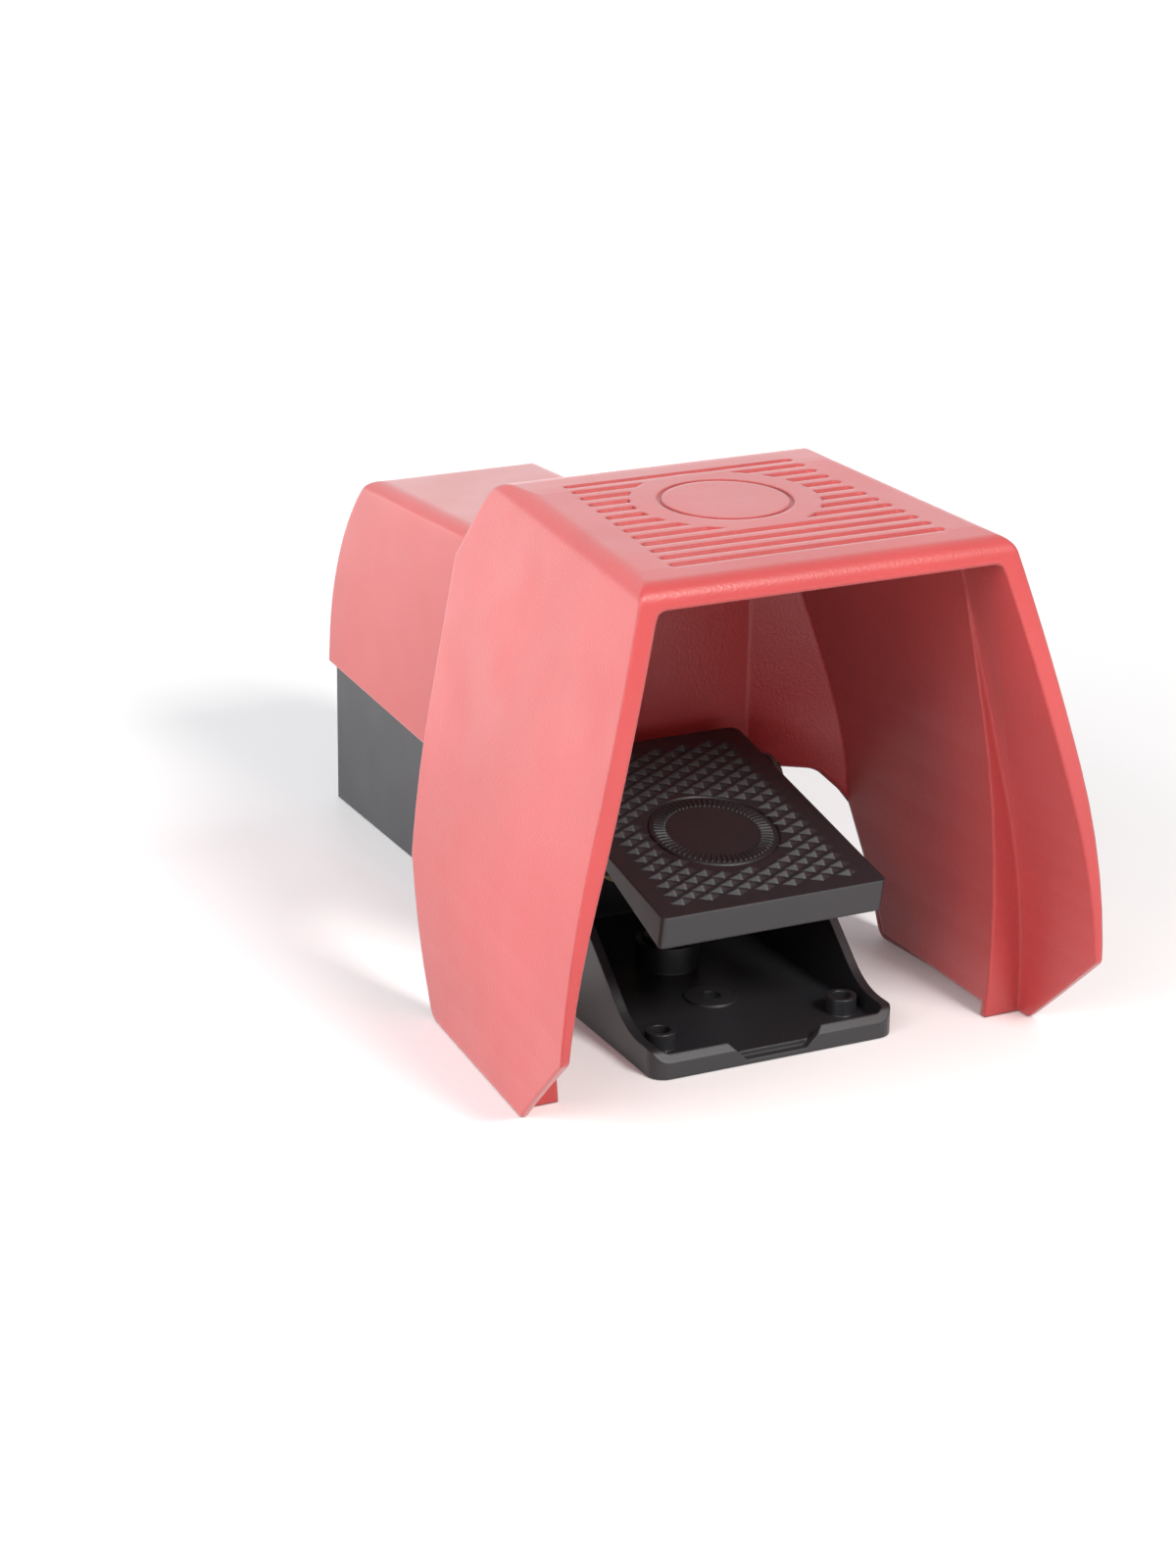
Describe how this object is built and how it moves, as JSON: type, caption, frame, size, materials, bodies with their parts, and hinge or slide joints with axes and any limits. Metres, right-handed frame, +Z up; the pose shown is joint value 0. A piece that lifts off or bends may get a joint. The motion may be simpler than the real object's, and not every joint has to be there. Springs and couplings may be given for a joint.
{
  "type": "foot switch",
  "caption": "Guarded industrial foot switch: sprung pedal in a tray, contact chamber behind it and a flared hood over the foot.",
  "frame": {"origin": "middle of the overall width and length, on the plane of the floor", "axes": "+Z up; +Y towards the cable entries at the rear, the foot enters from -Y; +X to the right as seen from the front"},
  "size_m": [0.1646, 0.277, 0.1499],
  "materials": {
    "hood_plastic": "satin moulded",
    "cover_plastic": "satin gloss moulded",
    "black_plastic": "fine texture",
    "pedal_plastic": "studded tread",
    "rubber": "moulded",
    "steel": "ground",
    "zinc_screw": "zinc plated",
    "spring_steel": "drawn wire",
    "bush_plastic": "natural",
    "bronze": "turned",
    "block_plastic": "light grey",
    "lid_plastic": "smooth",
    "slide_plastic": "smooth",
    "contact_brass": "stamped"
  },
  "bodies": {
    "housing": {"base": "black_plastic", "rear_cover": "cover_plastic", "cover_gasket": "rubber", "cover_screws": "zinc_screw", "guard_hood": "hood_plastic", "hood_screws": "zinc_screw", "bush_left": "bush_plastic", "bush_right": "bush_plastic", "return_spring": "spring_steel", "stop_buffers": "rubber", "plunger_guide": "bronze", "guide_nut": "zinc_screw", "plunger_ring": "rubber", "mounting_plate": "steel", "plate_screws": "zinc_screw", "contact_housing": "block_plastic", "contact_lid": "lid_plastic", "fixed_contacts": "contact_brass", "terminal_screws": "zinc_screw", "slide_spring": "spring_steel", "earth_terminal": "contact_brass", "entry_plug": "black_plastic", "plug_ring": "rubber"},
    "pedal": {"pedal": "pedal_plastic", "pedal_shaft": "steel", "shaft_clips": "spring_steel"},
    "plunger": {"plunger": "steel", "contact_slide": "slide_plastic", "bridge_contacts": "contact_brass"}
  },
  "joints": [
    {"name": "pedal_hinge", "type": "hinge", "parent": "housing", "child": "pedal", "pos_m": [0, -0.023, 0.049], "axis": [1, 0, 0], "range_deg": [0, 12], "stiffness_Nm_per_rad": 6, "springref_deg": -8.59, "deforming": ["return_spring"]},
    {"name": "plunger_slide", "type": "slide", "parent": "housing", "child": "plunger", "axis": [0, 1, 0], "range_m": [0, 0.00475], "deforming": ["slide_spring"]}
  ],
  "couplings": [
    {"joint": "plunger_slide", "follows": "pedal_hinge", "m_per_rad": 0.0225}
  ]
}
